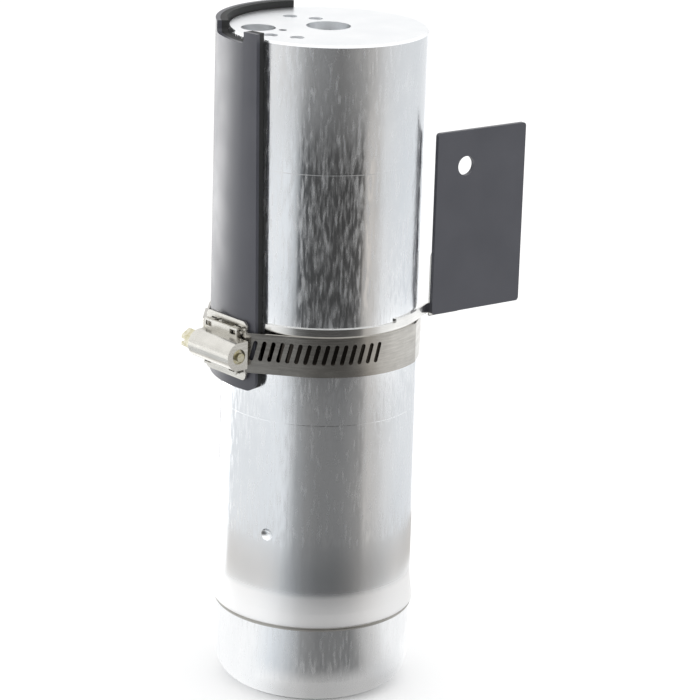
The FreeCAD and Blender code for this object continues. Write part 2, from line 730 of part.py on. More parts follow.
def leg_spans():
    """Where the housing's four legs stand along its axis."""
    middle = (BASE_FRONT + BASE_BACK) / 2
    return [(middle + side * LEG_OFFSET - LEG_LENGTH / 2, middle + side * LEG_OFFSET + LEG_LENGTH / 2)
            for side in (-1, 1)]


def leg_inner():
    return BAND_WIDTH / 2 + LEG_CLEARANCE


def clamp_base():
    """The plate under the band, with a window for each of the housing's legs."""
    half = BASE_WIDTH / 2
    plate = block(BASE_BACK, BASE_FRONT, -BASE_TOP_R, -BASE_R, BAND_Z - half, BAND_Z + half)

    def corner(edge):
        return edge.Length < BASE_THICKNESS * 1.5

    plate = round_edges(plate, BASE_CORNER_R, corner)
    cuts = []
    for x0, x1 in leg_spans():
        for side in (-1, 1):
            near = side * (leg_inner() - FIT)
            far = side * (leg_inner() + HOUSING_SHEET + LEG_WINDOW)
            z0, z1 = BAND_Z + min(near, far), BAND_Z + max(near, far)
            cuts.append(block(x0 - FIT, x1 + FIT, -BASE_TOP_R - 1, -BASE_R + 1, z0, z1))
    return in_clamp_frame(plate.cut(cuts))


def arch(radius, foot, x0, x1):
    """A solid bar along the screw's axis with a round back, straight sides and a flat foot."""
    low = vec(x0, -foot, -radius)
    side = vec(x0, -WORM_AXIS_R, -radius)
    far_side = vec(x0, -WORM_AXIS_R, radius)
    far_low = vec(x0, -foot, radius)
    edges = [
        Part.LineSegment(low, side).toShape(),
        Part.Arc(side, vec(x0, -WORM_AXIS_R - radius, 0), far_side).toShape(),
        Part.LineSegment(far_side, far_low).toShape(),
        Part.LineSegment(far_low, low).toShape(),
    ]
    bar = Part.Face(Part.Wire(edges)).extrude(vec(x1 - x0, 0, 0))
    bar.translate(vec(0, 0, BAND_Z))
    return bar


def clamp_housing():
    """The pressed cover: a barrel over the worm, open at its front, with shoulders whose legs lock into the
    base plate and windows where the legs were bent down."""
    shoulder = WORM_AXIS_R - SHOULDER_DROP
    foot = shoulder - HOUSING_SHEET
    edge = leg_inner() + HOUSING_SHEET
    cover = arch(BARREL_R, foot, HOUSING_BACK, HOUSING_FRONT)
    shoulder_back = leg_spans()[0][0] - SHOULDER_END
    shoulder_front = leg_spans()[1][1] + SHOULDER_END
    cover = cover.fuse(block(shoulder_back, shoulder_front, -shoulder, -foot, BAND_Z - edge, BAND_Z + edge))
    back_wall = HOUSING_BACK + HOUSING_SHEET
    front_wall = HOUSING_FRONT - HOUSING_SHEET
    cover = cover.cut(arch(BARREL_R - HOUSING_SHEET, foot - HOUSING_SHEET, back_wall, front_wall))
    centre = vec(0, -WORM_AXIS_R, BAND_Z)
    for x0, length, radius in (
            (HOUSING_BACK, HOUSING_SHEET, SHANK_R + RUNNING_CLEARANCE),
            (HOUSING_BACK - HOUSING_SHEET * 2, HOUSING_SHEET * 2, HEX_COLLAR_R + HEAD_GAP),
            (front_wall, HOUSING_SHEET, FRONT_OPENING_R)):
        cover = cover.cut(Part.makeCylinder(radius, length, centre + vec(x0, 0), vec(1, 0, 0)))
    legs = []
    windows = []
    for x0, x1 in leg_spans():
        middle = (x0 + x1) / 2
        for side in (-1, 1):
            z = BAND_Z + side * (leg_inner() + HOUSING_SHEET / 2)
            legs.append(block(x0, x1, -shoulder, -BASE_R, z - HOUSING_SHEET / 2, z + HOUSING_SHEET / 2))
            z = BAND_Z + side * (leg_inner() - SHOULDER_WINDOW_WIDTH / 2)
            windows.append(block(middle - SHOULDER_WINDOW_LENGTH / 2, middle + SHOULDER_WINDOW_LENGTH / 2,
                                 -shoulder - HOUSING_SHEET, -foot + HOUSING_SHEET,
                                 z - SHOULDER_WINDOW_WIDTH / 2, z + SHOULDER_WINDOW_WIDTH / 2))
    return in_clamp_frame(cover.cut(windows).fuse(legs).removeSplitter())


def clamp_screw():
    """The worm with its pilot and shank, and a slotted hexagon head outside the housing."""
    axis = vec(1, 0, 0)

    def rod(x0, x1, radius):
        return Part.makeCylinder(radius, x1 - x0, vec(x0, -WORM_AXIS_R, BAND_Z), axis)

    worm_back = HOUSING_BACK + HOUSING_SHEET + WORM_END_PLAY
    worm_front = HOUSING_FRONT - HOUSING_SHEET - WORM_END_PLAY
    screw = rod(worm_back, worm_front, WORM_ROOT_R)
    head_x = HOUSING_BACK - HEAD_GAP
    pieces = [
        rod(head_x, worm_back, SHANK_R),
        rod(worm_front, HOUSING_FRONT + PILOT_REACH, PILOT_R),
        rod(head_x - HEX_COLLAR, head_x, HEX_COLLAR_R),
    ]
    middle = (worm_back + worm_front) / 2
    for i in range(WORM_RIDGES):
        x = middle + (i - (WORM_RIDGES - 1) / 2) * SLOT_PITCH
        pieces.append(rod(x - WORM_RIDGE_WIDTH / 2, x + WORM_RIDGE_WIDTH / 2, WORM_R))
    corner_r = HEX_FLATS / math.sqrt(3)
    corners = []
    for i in range(7):
        a = math.radians(60 * i)
        corners.append(vec(0, -WORM_AXIS_R + corner_r * math.sin(a), BAND_Z + corner_r * math.cos(a)))
    hexagon = Part.Face(Part.makePolygon(corners)).extrude(vec(HEX_HEIGHT, 0, 0))
    hexagon.translate(vec(head_x - HEX_COLLAR - HEX_HEIGHT, 0, 0))
    driver_x = head_x - HEX_COLLAR - HEX_HEIGHT
    slot = block(driver_x, driver_x + DRIVER_SLOT_DEPTH, -WORM_AXIS_R - HEX_FLATS, -WORM_AXIS_R + HEX_FLATS,
                 BAND_Z - DRIVER_SLOT_WIDTH / 2, BAND_Z + DRIVER_SLOT_WIDTH / 2)
    pieces.append(hexagon.cut(slot))
    return in_clamp_frame(screw.fuse(pieces))


PIECES = [
    vessel_body, bottom_cap, girth_weld, pickup_tube, tube_o_ring, strainer_screen, strainer_cap,
    lower_perforated_plate, lower_filter_pad, desiccant_bed, upper_filter_pad, upper_perforated_plate,
    compression_spring, inlet_deflector, saddle_shell, saddle_liner, flange_strap, mounting_flange,
    clamp_band, clamp_base, clamp_housing, clamp_screw,
]

os.makedirs("parts", exist_ok=True)
for piece in PIECES:
    shape = piece()
    if len(shape.Solids) == 1:
        shape = shape.Solids[0]
    shape.exportStep("parts/" + piece.__name__ + ".step")
    print(piece.__name__, len(shape.Solids), shape.isValid(), round(shape.Volume, 1))
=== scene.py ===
# %% [markdown]
# A receiver drier is the small pressure vessel of an air-conditioning circuit. Here the CAD solids carry
# nearly every shape, so the lesson is mostly about metal: one aluminium that mirrors the studio, one black
# coat, one rubber and a few steels. We load the frame first.

# %% Load the frame
import bpy
import json
import math
from mathutils import Matrix, Vector


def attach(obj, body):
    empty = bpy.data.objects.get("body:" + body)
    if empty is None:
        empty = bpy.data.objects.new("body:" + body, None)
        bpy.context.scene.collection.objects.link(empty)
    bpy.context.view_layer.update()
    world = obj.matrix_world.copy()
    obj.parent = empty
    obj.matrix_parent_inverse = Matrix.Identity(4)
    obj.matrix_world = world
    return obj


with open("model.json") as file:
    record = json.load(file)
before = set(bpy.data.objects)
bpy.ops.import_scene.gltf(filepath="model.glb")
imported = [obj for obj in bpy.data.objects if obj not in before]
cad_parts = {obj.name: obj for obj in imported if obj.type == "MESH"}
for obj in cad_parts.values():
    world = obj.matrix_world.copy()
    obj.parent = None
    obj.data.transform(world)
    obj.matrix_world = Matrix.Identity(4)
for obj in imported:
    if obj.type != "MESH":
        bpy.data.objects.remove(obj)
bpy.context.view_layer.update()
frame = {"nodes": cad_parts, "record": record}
NODES = frame["nodes"]

# %% [markdown]
# Colours are picked as sRGB hex values, the way a paint chart gives them, and one function turns them to
# the linear numbers that the shader works in. A second small function adds a node to a tree with its
# settings and its links, so that a material reads as a list of nodes.

# %% Colour and node helpers
MM = 0.001


def srgb(code):
    """A hex colour such as #F7F7F7 as the linear red, green, blue and alpha that a shader takes."""
    values = [int(code[i:i + 2], 16) / 255 for i in (1, 3, 5)]
    linear = [v / 12.92 if v <= 0.04045 else ((v + 0.055) / 1.055) ** 2.4 for v in values]
    return (*linear, 1.0)


def add(tree, kind, links=None, values=None, **settings):
    """Add a node: its settings first, then fixed values and links for its inputs."""
    node = tree.nodes.new(kind)
    for name, value in settings.items():
        setattr(node, name, value)
    for key, value in (values or {}).items():
        node.inputs[key].default_value = value
    for key, source in (links or {}).items():
        tree.links.new(source, node.inputs[key])
    return node


def new_material(name):
    """A material with its tree, its shader and the coordinates of the object it is on."""
    material = bpy.data.materials.new(name)
    material.use_nodes = True
    tree = material.node_tree
    tree.nodes.clear()
    shader = add(tree, "ShaderNodeBsdfPrincipled")
    add(tree, "ShaderNodeOutputMaterial", {"Surface": shader.outputs[0]})
    place = add(tree, "ShaderNodeTexCoord").outputs["Object"]
    return material, tree, shader, place


def dress(material, *names):
    """Put a finish on the CAD nodes of these names."""
    for name in names:
        for slot in NODES[name].material_slots:
            slot.material = material
    print(material.name, "on", ", ".join(names))


print("the paint-chart grey #808080 is", round(srgb("#808080")[0], 3), "in the shader's linear numbers")

# %% [markdown]
# Most finishes here are noise drawn out along one direction, because drawing, rolling and turning all
# leave lines. A picture of scratched metal would do too, but it needs a map that fits each piece, and it
# blurs close up. This helper takes the size of a grain in millimetres along X, Y and Z, so a long third
# number gives lines that run up the vessel.

# %% Grain helper


def even(size_mm):
    """The same grain size along X, Y and Z."""
    return (size_mm, size_mm, size_mm)


def grain(tree, place, size_mm, detail=2.0, offset=0.0):
    """Noise whose grain has this size; another offset gives another pattern."""
    scale = [1 / (size * MM) for size in size_mm]
    moved = add(tree, "ShaderNodeMapping", {"Vector": place}, {"Scale": scale, "Location": (offset, 0, 0)})
    noise = add(tree, "ShaderNodeTexNoise", {"Vector": moved.outputs[0]}, {"Scale": 1.0, "Detail": detail})
    return noise.outputs["Fac"]


def spread(tree, source, low, high, from_low=0.35, from_high=0.65):
    """Noise stays near its middle, so this stretches the middle over the whole of low to high."""
    node = add(tree, "ShaderNodeMapRange", {"Value": source},
               {"From Min": from_low, "From Max": from_high, "To Min": low, "To Max": high})
    return node.outputs[0]


def tint(tree, source, low, high):
    """A colour between two hex values, as the source goes from zero to one."""
    colours = {"A": srgb(low), "B": srgb(high)}
    return add(tree, "ShaderNodeMix", {"Factor": source}, colours, data_type="RGBA").outputs["Result"]


# %% [markdown]
# Some finishes change with height. The wall could be cut into pieces with a material each, but a real can
# is one piece, so a mask does it: one between two heights and zero elsewhere. Its first use is painted
# shade: the wall and the strap are darkened under the clamp band, where the band shades them, and this
# shows through the band's slots.

# %% Height mask and painted shade under the band
BAND_BOTTOM = 124.4 * MM
BAND_TOP = 137.6 * MM
# The colour of the painted shade under the clamp band.
BAND_SHADE = "#3E3A35"


def height_band(tree, height, low, high, soft):
    """One between two heights and zero elsewhere, with edges this soft."""
    rise = add(tree, "ShaderNodeMapRange", {"Value": height},
               {"From Min": low - soft, "From Max": low + soft}, interpolation_type="SMOOTHSTEP")
    fall = add(tree, "ShaderNodeMapRange", {"Value": height},
               {"From Min": high - soft, "From Max": high + soft, "To Min": 1.0, "To Max": 0.0},
               interpolation_type="SMOOTHSTEP")
    both = add(tree, "ShaderNodeMath", {0: rise.outputs[0], 1: fall.outputs[0]}, operation="MULTIPLY")
    return both.outputs[0]


def shaded_under_band(tree, height, clean, mask=None):
    """The clean colour, darkened under the clamp band where the mask allows it: painted shade."""
    under_band = height_band(tree, height, BAND_BOTTOM, BAND_TOP, 0.1 * MM)
    if mask is not None:
        under_band = add(tree, "ShaderNodeMath", {0: under_band, 1: mask}, operation="MULTIPLY").outputs[0]
    darkened = add(tree, "ShaderNodeMix", {"Factor": under_band, "A": clean}, {"B": srgb(BAND_SHADE)},
                data_type="RGBA")
    return darkened.outputs["Result"]


# The painted shade under the band runs between these heights.
print("grime from", round(BAND_BOTTOM / MM, 1), "to", round(BAND_TOP / MM, 1), "mm up")

# %% [markdown]
# The vessel is impact-drawn aluminium. Drawing leaves short scuffs that run up the wall, about a
# millimetre wide. A scuff is rougher than the wall round it, so inside a dark reflection it catches light
# from the bright room next to it: that is why the dark band down the front is streaky while the bright
# sides look smooth. Bump could draw the scuffs, but it bends the whole reflection and blurs the band's
# edge, so the noise drives the roughness, and bump is left for the slow waves of the wall. The head is
# turned on a lathe, so its face has rings in place of the scuffs. Two faint lines run round the wall where
# the die stopped. Heat from the girth weld has dulled the wall above it, so no scuffs show there, and the
# flared mouth was brushed clean for the weld, so it is matt and the palest.

# %% Drawn aluminium
WITNESS_LINES = (195.5 * MM, 106.0 * MM)
WITNESS_HALF_WIDTH = 0.2 * MM
WITNESS_DEPTH = -0.35
INNER_RADIUS = 33.5 * MM
WELD_Z = 30.5 * MM
FLARE_TOP = 42.5 * MM
DULLED_TOP = 60.0 * MM
LATHE_FEED = 0.8 * MM
LATHE_DEPTH = 0.1
RELIEF = 0.04 * MM
SMOOTH_WALL, SCUFFED_WALL, DULLED_WALL = 0.09, 0.33, 0.2
BRUSHED_FLARE, TURNED_FACE = 0.42, 0.3


def drawn_aluminium():
    material, tree, shader, place = new_material("drawn_aluminium")
    height = add(tree, "ShaderNodeSeparateXYZ", {0: place}).outputs["Z"]
    scuffs = grain(tree, place, (1.0, 1.0, 6.0), 2.0)
    waves = grain(tree, place, (3.0, 3.0, 25.0), 1.0, 7.0)
    cloud = grain(tree, place, (16.0, 16.0, 40.0), 3.0, 11.0)
    radius = add(tree, "ShaderNodeVectorMath", {0: place}, {1: (1, 1, 0)}, operation="MULTIPLY")
    radius = add(tree, "ShaderNodeVectorMath", {0: radius.outputs[0]}, operation="LENGTH").outputs["Value"]
    rings = add(tree, "ShaderNodeMath", {0: radius}, {1: 2 * math.pi / LATHE_FEED}, operation="MULTIPLY")
    rings = add(tree, "ShaderNodeMath", {0: rings.outputs[0]}, operation="SINE").outputs[0]
    normal = add(tree, "ShaderNodeNewGeometry").outputs["Normal"]
    upward = add(tree, "ShaderNodeSeparateXYZ", {0: normal}).outputs["Z"]
    machined = spread(tree, upward, 0.0, 1.0, 0.8, 0.95)
    inside = add(tree, "ShaderNodeMath", {0: radius}, {1: INNER_RADIUS}, operation="LESS_THAN").outputs[0]
    flare = height_band(tree, height, WELD_Z, FLARE_TOP, 2.0 * MM)
    paler = add(tree, "ShaderNodeMath", {0: spread(tree, cloud, 0.0, 0.4), 1: flare}, operation="MAXIMUM")
    bright = tint(tree, paler.outputs[0], "#EDEFF1", "#FFFFFF")
    outside = add(tree, "ShaderNodeMath", {1: inside}, {0: 1.0}, operation="SUBTRACT").outputs[0]
    # The outer wall is darkened under the clamp band: painted shade that shows through the band's slots.
    tree.links.new(shaded_under_band(tree, height, bright, outside), shader.inputs["Base Color"])
    rough = spread(tree, scuffs, SMOOTH_WALL, SCUFFED_WALL, 0.38, 0.70)
    dulled = height_band(tree, height, WELD_Z, DULLED_TOP, 3.0 * MM)
    rough = add(tree, "ShaderNodeMix", {"Factor": dulled, "A": rough}, {"B": DULLED_WALL}).outputs[0]
    rough = add(tree, "ShaderNodeMix", {"Factor": flare, "A": rough}, {"B": BRUSHED_FLARE}).outputs[0]
    turned_faces = add(tree, "ShaderNodeMath", {0: machined, 1: inside}, operation="MAXIMUM").outputs[0]
    rough = add(tree, "ShaderNodeMix", {"Factor": turned_faces, "A": rough}, {"B": TURNED_FACE})
    tree.links.new(rough.outputs[0], shader.inputs["Roughness"])
    drawn = waves
    for line in WITNESS_LINES:
        mark = height_band(tree, height, line - WITNESS_HALF_WIDTH, line + WITNESS_HALF_WIDTH, 0.15 * MM)
        cut = add(tree, "ShaderNodeMath", {0: mark, 2: drawn}, {1: WITNESS_DEPTH}, operation="MULTIPLY_ADD")
        drawn = cut.outputs[0]
    turned = add(tree, "ShaderNodeMath", {0: rings}, {1: LATHE_DEPTH}, operation="MULTIPLY").outputs[0]
    relief = add(tree, "ShaderNodeMix", {"Factor": machined, "A": drawn, "B": turned}).outputs[0]
    bump = add(tree, "ShaderNodeBump", {"Height": relief}, {"Strength": 1.0, "Distance": RELIEF})
    tree.links.new(bump.outputs[0], shader.inputs["Normal"])
    shader.inputs["Metallic"].default_value = 1.0
    return material


dress(drawn_aluminium(), "vessel_body", "bottom_cap", "pickup_tube")

# %% [markdown]
# The girth weld is the same metal after it has melted and frozen, so it is duller and faintly frosted. A
# fine noise in the bump gives the frost. The ripples could be bump as well, but they stand proud enough to
# see from the side, so they come later as real shapes, one for each step.

# %% Weld metal
RIPPLE_PITCH = 1.0 * MM


def weld_metal():
    material, tree, shader, place = new_material("as_welded_aluminium")
    frost = grain(tree, place, even(0.3), 3.0)
    bump = add(tree, "ShaderNodeBump", {"Height": frost}, {"Strength": 0.5, "Distance": 0.02 * MM})
    tree.links.new(bump.outputs[0], shader.inputs["Normal"])
    cloud = grain(tree, place, even(3.0))
    tree.links.new(tint(tree, cloud, "#9C9A95", "#B2B0AB"), shader.inputs["Base Color"])
    shader.inputs["Metallic"].default_value = 1.0
    shader.inputs["Roughness"].default_value = 0.3
    return material


dress(weld_metal(), "girth_weld")

# %% [markdown]
# The saddle and the flange are mild-steel sheet under a satin black coat, which reads as slate grey in a
# white room. The coat levels as it cures but keeps a faint orange peel of about two millimetres. Its satin
# surface spreads the strip light into the soft bright rim where the saddle turns away. One flat colour
# would look like plastic, so dust drifts it a little, and the same dust drifts the gloss.

# %% Satin black coat
ORANGE_PEEL_MM = 2.0
DUST_MM = 14.0


def satin_coat():
    material, tree, shader, place = new_material("satin_black_coat_on_steel")
    peel = grain(tree, place, even(ORANGE_PEEL_MM))
    dust = grain(tree, place, even(DUST_MM), 4.0)
    bump = add(tree, "ShaderNodeBump", {"Height": peel}, {"Strength": 0.5, "Distance": 0.01 * MM})
    tree.links.new(bump.outputs[0], shader.inputs["Normal"])
    tree.links.new(tint(tree, dust, "#3B3C43", "#494A51"), shader.inputs["Base Color"])
    tree.links.new(spread(tree, dust, 0.36, 0.44), shader.inputs["Roughness"])
    return material


dress(satin_coat(), "saddle_shell", "mounting_flange")

# %% [markdown]
# The liner is cut from black sheet rubber. It is matt, with a dusty grain that lifts its colour a little.
# Rubber in shade is easily too black to read, so its two colours are both a step above black.

# %% Sheet rubber
RUBBER_GRAIN_MM = 0.8


def sheet_rubber():
    material, tree, shader, place = new_material("black_sheet_rubber")
    dusty = grain(tree, place, even(RUBBER_GRAIN_MM), 5.0)
    tree.links.new(tint(tree, dusty, "#141515", "#2A2B2B"), shader.inputs["Base Color"])
    bump = add(tree, "ShaderNodeBump", {"Height": dusty}, {"Strength": 0.3, "Distance": 0.1 * MM})
    tree.links.new(bump.outputs[0], shader.inputs["Normal"])
    shader.inputs["Roughness"].default_value = 0.7
    return material


dress(sheet_rubber(), "saddle_liner", "tube_o_ring")

# %% [markdown]
# The band, its housing and the strap are rolled strip. Rolling leaves lines along the strip, which go
# round the vessel, so this grain is flat: long in X and Y and fine in Z. An anisotropic shader would smear
# the light along the lines, but it needs a direction on every face, and fine lines in the roughness look
# the same from here. The band is the darkest of the three, the pressed housing is brighter, and the strap
# is bright enough to mirror the vessel beside it. One function makes all three.

# %% Rolled stainless steel
ROLLING_LINE_MM = (12.0, 12.0, 0.5)
ROLLED_CLOUD_MM = (8.0, 8.0, 5.0)


def rolled_stainless(name, dark, light, smooth, rough, shade_under_band=False):
    """Rolled strip between two colours and between two roughnesses."""
    material, tree, shader, place = new_material(name)
    lines = grain(tree, place, ROLLING_LINE_MM, 2.0)
    cloud = grain(tree, place, ROLLED_CLOUD_MM, 3.0, 5.0)
    clean = tint(tree, spread(tree, cloud, 0.0, 1.0), dark, light)
    # With this flag set, the strip is darkened under the clamp band as well: painted shade.
    if shade_under_band:
        clean = shaded_under_band(tree, add(tree, "ShaderNodeSeparateXYZ", {0: place}).outputs["Z"], clean)
    tree.links.new(clean, shader.inputs["Base Color"])
    tree.links.new(spread(tree, lines, smooth, rough), shader.inputs["Roughness"])
    bump = add(tree, "ShaderNodeBump", {"Height": lines}, {"Strength": 0.4, "Distance": 0.01 * MM})
    tree.links.new(bump.outputs[0], shader.inputs["Normal"])
    shader.inputs["Metallic"].default_value = 1.0
    return material


dress(rolled_stainless("rolled_stainless_steel", "#B3B0AA", "#C1BEB8", 0.16, 0.26), "clamp_band")
dress(rolled_stainless("pressed_stainless_steel", "#C7C5BF", "#D4D2CC", 0.18, 0.3),
      "clamp_base", "clamp_housing")
# The strap is darkened under the clamp band: painted shade.
dress(rolled_stainless("bright_rolled_steel", "#DDDCD9", "#E7E6E3", 0.1, 0.16, True), "flange_strap")

# %% [markdown]
# The worm is carbon steel with a yellow passivated zinc plate. The colour is a thin film, so it drifts
# between straw and a cooler grey over a millimetre or two. The film could be a coat over grey metal, but it
# is so thin that tinting the metal itself looks the same.

# %% Yellow zinc plate
FILM_MM = 1.5


def yellow_zinc():
    material, tree, shader, place = new_material("yellow_zinc_plated_steel")
    film = grain(tree, place, even(FILM_MM), 4.0)
    drift = spread(tree, film, 0.0, 1.0)
    tree.links.new(tint(tree, drift, "#BDB799", "#D9D5C4"), shader.inputs["Base Color"])
    tree.links.new(spread(tree, film, 0.25, 0.4), shader.inputs["Roughness"])
    shader.inputs["Metallic"].default_value = 1.0
    return material


dress(yellow_zinc(), "clamp_screw")

# %% [markdown]
# The sealed inside gets its real finishes too, for anyone who opens the model: bright steel for the plates,
# the spring and the deflector, a woven look for the screen, moulded nylon, felt, and packed beads. Wires
# and beads could be modelled one by one, but nobody sees them with the vessel closed, so the weave and the
# beads are drawn in the material, at their real pitch.

# %% Finishes of the inner pieces
WIRE_PITCH = 0.5 * MM
WIRE_RELIEF = 0.1 * MM
SCREEN_RADIUS = 8.0 * MM
MOTTLE_MM = 2.5
FLOW_MM = 6.0
FIBRE_MM = (0.4, 0.4, 0.2)
BEAD_SIZE = 2.2 * MM


def bright_steel():
    material, tree, shader, place = new_material("cold_rolled_steel")
    mottle = grain(tree, place, even(MOTTLE_MM), 3.0)
    tree.links.new(tint(tree, mottle, "#A9A8A4", "#C3C2BE"), shader.inputs["Base Color"])
    tree.links.new(spread(tree, mottle, 0.25, 0.4), shader.inputs["Roughness"])
    shader.inputs["Metallic"].default_value = 1.0
    return material


def woven_screen():
    material, tree, shader, place = new_material("woven_steel_screen")
    split = add(tree, "ShaderNodeSeparateXYZ", {0: place})
    turn = add(tree, "ShaderNodeMath", {0: split.outputs["Y"], 1: split.outputs["X"]}, operation="ARCTAN2")
    wires_round = round(2 * math.pi * SCREEN_RADIUS / WIRE_PITCH)
    across = add(tree, "ShaderNodeMath", {0: turn.outputs[0]}, {1: wires_round}, operation="MULTIPLY")
    waves_up = 2 * math.pi / WIRE_PITCH
    up = add(tree, "ShaderNodeMath", {0: split.outputs["Z"]}, {1: waves_up}, operation="MULTIPLY")
    warp = add(tree, "ShaderNodeMath", {0: across.outputs[0]}, operation="SINE")
    weft = add(tree, "ShaderNodeMath", {0: up.outputs[0]}, operation="SINE")
    weave = add(tree, "ShaderNodeMath", {0: warp.outputs[0], 1: weft.outputs[0]}, operation="MULTIPLY")
    bump = add(tree, "ShaderNodeBump", {"Height": weave.outputs[0]},
               {"Strength": 0.8, "Distance": WIRE_RELIEF})
    tree.links.new(bump.outputs[0], shader.inputs["Normal"])
    # The colour darkens where the weave sinks: painted shade between the wires.
    tree.links.new(tint(tree, spread(tree, weave.outputs[0], 0, 1, -1, 1), "#6E6D6A", "#BDBBB5"),
                   shader.inputs["Base Color"])
    shader.inputs["Metallic"].default_value = 1.0
    shader.inputs["Roughness"].default_value = 0.35
    return material


def moulded_nylon():
    material, tree, shader, place = new_material("moulded_natural_nylon")
    flow = grain(tree, place, even(FLOW_MM), 2.0)
    tree.links.new(tint(tree, flow, "#D9D2BF", "#E6E1D2"), shader.inputs["Base Color"])
    tree.links.new(spread(tree, flow, 0.4, 0.5), shader.inputs["Roughness"])
    shader.inputs["Subsurface Weight"].default_value = 0.1
    return material


def white_felt():
    material, tree, shader, place = new_material("white_polyester_felt")
    fibres = grain(tree, place, FIBRE_MM, 5.0)
    tree.links.new(tint(tree, fibres, "#CFCBC1", "#ECE9E2"), shader.inputs["Base Color"])
    bump = add(tree, "ShaderNodeBump", {"Height": fibres}, {"Strength": 0.8, "Distance": 0.3 * MM})
    tree.links.new(bump.outputs[0], shader.inputs["Normal"])
    shader.inputs["Roughness"].default_value = 0.9
    return material


def packed_beads():
    material, tree, shader, place = new_material("packed_desiccant_beads")
    beads = add(tree, "ShaderNodeTexVoronoi", {"Vector": place}, {"Scale": 1 / BEAD_SIZE})
    # The colour darkens away from each bead's middle: painted shade in the gaps between the beads.
    tree.links.new(tint(tree, beads.outputs["Distance"], "#D8C7A8", "#7B6C54"), shader.inputs["Base Color"])
    bump = add(tree, "ShaderNodeBump", {"Height": beads.outputs["Distance"]},
               {"Strength": 1.0, "Distance": 0.8 * MM}, invert=True)
    tree.links.new(bump.outputs[0], shader.inputs["Normal"])
    shader.inputs["Roughness"].default_value = 0.8
    return material


dress(bright_steel(), "lower_perforated_plate", "upper_perforated_plate", "compression_spring",
      "inlet_deflector")
dress(woven_screen(), "strainer_screen")
dress(moulded_nylon(), "strainer_cap")
dress(white_felt(), "lower_filter_pad", "upper_filter_pad")
dress(packed_beads(), "desiccant_bed")

# %% [markdown]
# Two things here repeat by a rule, so Geometry Nodes make them: the threads that are cut in the four tapped
# holes, and the ripples of the girth weld. Placing them by hand would work once, but a tree can be made
# again with other sizes, so each tree takes its sizes as named inputs. The first helper gives a tree its
# inputs, the second ends it, and the third grows the piece and turns it into a plain mesh that rides on a
# body, because live instances are lost when the model is exported.

# %% Geometry Nodes helpers


def size_tree(name, labels):
    """A new tree with one named input for each size, and the identifier of each input."""
    tree = bpy.data.node_groups.new(name, "GeometryNodeTree")
    tree.interface.new_socket("Geometry", in_out="INPUT", socket_type="NodeSocketGeometry")
    tree.interface.new_socket("Geometry", in_out="OUTPUT", socket_type="NodeSocketGeometry")
    keys = {}
    for label in labels:
        socket = tree.interface.new_socket(label, in_out="INPUT", socket_type="NodeSocketFloat")
        keys[label] = socket.identifier
    return tree, keys, tree.nodes.new("NodeGroupInput").outputs


def end_tree(tree, instances, material):
    """End a tree in real, smooth geometry with its material."""
    real = add(tree, "GeometryNodeRealizeInstances", {"Geometry": instances})
    smooth = add(tree, "GeometryNodeSetShadeSmooth", {"Geometry": real.outputs[0]})
    painted = add(tree, "GeometryNodeSetMaterial", {"Geometry": smooth.outputs[0]}, {"Material": material})
    add(tree, "NodeGroupOutput", {"Geometry": painted.outputs[0]})


def grow(name, points, tree, keys, sizes, body):
    """Run a tree on some points, keep the result as a plain mesh, and let it ride on a body."""
    places = bpy.data.meshes.new(name + "_places")
    places.from_pydata(points, [], [])
    seed = bpy.data.objects.new(name + "_places", places)
    bpy.context.scene.collection.objects.link(seed)
    modifier = seed.modifiers.new(name, "NODES")
    modifier.node_group = tree
    for label, value in sizes.items():
        modifier[keys[label]] = value
    finished = seed.evaluated_get(bpy.context.evaluated_depsgraph_get())
    grown = bpy.data.meshes.new_from_object(finished)
    bpy.data.objects.remove(seed)
    piece = bpy.data.objects.new(name, grown)
    bpy.context.scene.collection.objects.link(piece)
    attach(piece, body)
    print(name, "has", len(grown.polygons), "faces and rides on", body)


# %% [markdown]
# A coarse M6 thread rises one millimetre a turn. It could be cut from the solid, but that makes the CAD
# heavy for something seen only as faint lines in a hole. So the ridge is a round rod on a spiral, half sunk
# in the wall of the hole. The node winds a left-hand spiral, so it is reversed. The record says where the
# tapped holes are and how deep, so the threads follow the CAD.

# %% Threads of the tapped holes
THREAD_PITCH = 1.0 * MM
THREAD_STEPS = 24
RIDGE_RADIUS = 0.3 * MM
LEAD_IN = 0.7 * MM
tapped = [mount for mount in frame["record"]["mounts"] if mount["kind"] == "threaded_hole"]
hole_radius = tapped[0]["dims"]["r_mm"] * MM
thread_length = tapped[0]["dims"]["length_mm"] * MM - 2 * LEAD_IN
thread_sizes = {"Pitch": THREAD_PITCH, "Length": thread_length, "Hole radius": hole_radius,
                "Ridge radius": RIDGE_RADIUS}
tree, keys, given = size_tree("tapped_thread", thread_sizes)
turns = add(tree, "ShaderNodeMath", {0: given["Length"], 1: given["Pitch"]}, operation="DIVIDE")
spiral = add(tree, "GeometryNodeCurveSpiral",
             {"Rotations": turns.outputs[0], "Start Radius": given["Hole radius"],
              "End Radius": given["Hole radius"], "Height": given["Length"]},
             {"Resolution": THREAD_STEPS, "Reverse": True})
rod = add(tree, "GeometryNodeCurvePrimitiveCircle", {"Radius": given["Ridge radius"]}, {"Resolution": 8})
ridge = add(tree, "GeometryNodeCurveToMesh",
            {"Curve": spiral.outputs[0], "Profile Curve": rod.outputs["Curve"]}, {"Fill Caps": True})
threads = add(tree, "GeometryNodeInstanceOnPoints",
              {"Points": given["Geometry"], "Instance": ridge.outputs[0]})
end_tree(tree, threads.outputs[0], NODES["vessel_body"].material_slots[0].material)
floors = [(x, y, z - thread_length / 2) for x, y, z in (mount["pos_m"] for mount in tapped)]
grow("tapped_threads", floors, tree, keys, thread_sizes, "drier")

# %% [markdown]
# The weld was laid as overlapping pools of melt, each a flat drop across the seam. One wavy ring could
# stand for them, but its waves need a formula of their own. So a circle of points gets one drop every
# millimetre, turned to face outwards and sunk until only its crest shows.

